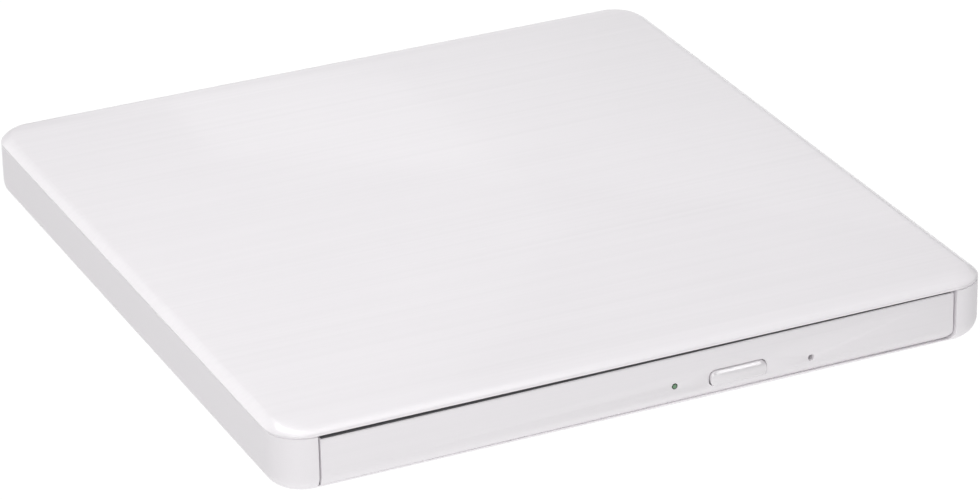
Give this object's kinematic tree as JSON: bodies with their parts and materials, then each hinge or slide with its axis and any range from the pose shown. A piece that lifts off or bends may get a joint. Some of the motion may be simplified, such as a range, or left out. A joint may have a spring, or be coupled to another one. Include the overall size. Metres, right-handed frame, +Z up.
{
  "type": "external dvd drive",
  "caption": "Slim portable disc drive: flat rounded case with a front tray that slides out on rails, spindle, moving laser pickup, eject button, status lamp and a USB socket at the back",
  "frame": {"origin": "centre of the footprint, on the plane the feet stand on", "axes": "+X to the right seen from the front, -Y out of the tray front, +Z up through the top cover"},
  "size_m": [0.1376, 0.144, 0.014],
  "materials": {
    "cover_plastic": "fine brushed, pearl white",
    "case_plastic": "satin, pearl white",
    "bezel_plastic": "satin, pearl white",
    "button_plastic": "satin, pearl white",
    "foot_rubber": "soft grey",
    "screw_steel": "plated",
    "sheet_steel": "galvanised sheet",
    "guide_plastic": "dark grey",
    "rail_steel": "bare",
    "board_green": "solder mask",
    "chip_black": "moulded",
    "capacitor_tan": "ceramic",
    "socket_ivory": "moulded",
    "socket_steel": "plated",
    "tongue_black": "moulded",
    "ribbon_film": "laminated film",
    "lead_film": "amber film",
    "spring_steel": "drawn wire",
    "tray_plastic": "fine texture, black",
    "lens_window": "tinted",
    "lamp_resin": "clear green resin",
    "damper_rubber": "soft",
    "motor_steel": "plated",
    "winding_copper": "lacquered",
    "sleeve_bronze": "sintered",
    "ground_steel": "ground",
    "hub_plastic": "moulded, black",
    "magnet_dark": "sintered",
    "sled_metal": "die cast",
    "objective_glass": "coated"
  },
  "bodies": {
    "case": {"top_cover": "cover_plastic", "bottom_case": "case_plastic", "rubber_feet": "foot_rubber", "case_screws": "screw_steel", "chassis_pan": "sheet_steel", "chassis_lid": "sheet_steel", "chassis_screws": "screw_steel", "guide_rail_left": "guide_plastic", "guide_rail_right": "guide_plastic", "main_board": "board_green", "board_chips": "chip_black", "board_capacitors": "capacitor_tan", "ribbon_socket": "socket_ivory", "board_screws": "screw_steel", "usb_shell": "socket_steel", "usb_tongue": "tongue_black", "ribbon_cable": "ribbon_film", "ejector_housing": "guide_plastic", "ejector_spring": "spring_steel", "latch_post": "rail_steel"},
    "rail_left": {"slide_rail_left": "rail_steel"},
    "rail_right": {"slide_rail_right": "rail_steel"},
    "ejector": {"ejector_plunger": "socket_ivory"},
    "tray": {"tray": "tray_plastic", "front_bezel": "bezel_plastic", "status_lens": "lens_window", "tray_board": "board_green", "eject_switch": "chip_black", "status_lamp": "lamp_resin", "pickup_socket": "socket_ivory", "traverse_frame": "sheet_steel", "damper_grommets": "damper_rubber", "damper_screws": "screw_steel", "mechanism_cover": "sheet_steel", "spindle_base": "motor_steel", "stator": "winding_copper", "bearing_sleeve": "sleeve_bronze", "guide_rod_main": "ground_steel", "guide_rod_sub": "ground_steel", "feed_motor": "motor_steel", "feed_bracket": "rail_steel", "pickup_lead": "lead_film", "latch_coil": "motor_steel"},
    "button": {"eject_button": "button_plastic"},
    "switch": {"switch_plunger": "socket_ivory"},
    "rotor": {"turntable": "hub_plastic", "rotor_magnet": "magnet_dark", "friction_ring": "damper_rubber", "spindle_shaft": "ground_steel"},
    "ball_1": {"clamp_ball_1": "ground_steel"},
    "ball_2": {"clamp_ball_2": "ground_steel"},
    "ball_3": {"clamp_ball_3": "ground_steel"},
    "pickup": {"pickup_sled": "sled_metal", "feed_nut": "socket_ivory", "actuator_yoke": "motor_steel"},
    "lens": {"lens_holder": "hub_plastic", "objective_lens": "objective_glass"},
    "screw": {"lead_screw": "ground_steel"},
    "latch": {"latch_lever": "socket_ivory"},
    "plunger": {"coil_plunger": "ground_steel"}
  },
  "joints": [
    {"name": "tray_slide", "type": "slide", "parent": "case", "child": "tray", "axis": [0, -1, 0], "range_m": [0, 0.126], "deforming": ["ribbon_cable"]},
    {"name": "rail_left_slide", "type": "slide", "parent": "case", "child": "rail_left", "axis": [0, -1, 0], "range_m": [0, 0.063]},
    {"name": "rail_right_slide", "type": "slide", "parent": "case", "child": "rail_right", "axis": [0, -1, 0], "range_m": [0, 0.063]},
    {"name": "ejector_push", "type": "slide", "parent": "case", "child": "ejector", "axis": [0, -1, 0], "range_m": [0, 0.0101], "deforming": ["ejector_spring"]},
    {"name": "button_press", "type": "slide", "parent": "tray", "child": "button", "axis": [0, 1, 0], "range_m": [0, 0.0003], "stiffness_N_per_m": 600},
    {"name": "switch_press", "type": "slide", "parent": "tray", "child": "switch", "axis": [0, 1, 0], "range_m": [0, 0.00031]},
    {"name": "disc_spin", "type": "hinge", "parent": "tray", "child": "rotor", "pos_m": [0, -0.007, 0.007], "axis": [0, 0, 1], "continuous": true},
    {"name": "ball_1_press", "type": "slide", "parent": "rotor", "child": "ball_1", "axis": [0, -1, 0], "range_m": [0, 0.0004], "stiffness_N_per_m": 300},
    {"name": "ball_2_press", "type": "slide", "parent": "rotor", "child": "ball_2", "axis": [0.866, 0.5, 0], "range_m": [0, 0.0004], "stiffness_N_per_m": 300},
    {"name": "ball_3_press", "type": "slide", "parent": "rotor", "child": "ball_3", "axis": [-0.866, 0.5, 0], "range_m": [0, 0.0004], "stiffness_N_per_m": 300},
    {"name": "pickup_feed", "type": "slide", "parent": "tray", "child": "pickup", "axis": [-0.7071, -0.7071, 0], "range_m": [0, 0.032], "deforming": ["pickup_lead"]},
    {"name": "screw_turn", "type": "hinge", "parent": "tray", "child": "screw", "pos_m": [-0.01428, 0.00728, 0.0056], "axis": [-0.7071, -0.7071, 0], "range_deg": [0, 3841]},
    {"name": "lens_focus", "type": "slide", "parent": "pickup", "child": "lens", "axis": [0, 0, 1], "range_m": [-0.0003, 0.0003], "stiffness_N_per_m": 30},
    {"name": "latch_swing", "type": "hinge", "parent": "tray", "child": "latch", "pos_m": [0.0406, -0.042, 0.005], "axis": [0, 0, 1], "range_deg": [0, 15]},
    {"name": "coil_pull", "type": "slide", "parent": "tray", "child": "plunger", "axis": [1, 0, 0], "range_m": [0, 0.00178]}
  ],
  "couplings": [
    {"joint": "rail_left_slide", "follows": "tray_slide", "ratio": 0.5},
    {"joint": "rail_right_slide", "follows": "tray_slide", "ratio": 0.5},
    {"joint": "ejector_push", "follows": "tray_slide", "ratio": 0.08},
    {"joint": "switch_press", "follows": "button_press", "ratio": 1},
    {"joint": "ball_2_press", "follows": "ball_1_press", "ratio": 1},
    {"joint": "ball_3_press", "follows": "ball_1_press", "ratio": 1},
    {"joint": "screw_turn", "follows": "pickup_feed", "rad_per_m": 2094.4},
    {"joint": "latch_swing", "follows": "coil_pull", "rad_per_m": 147.06}
  ]
}
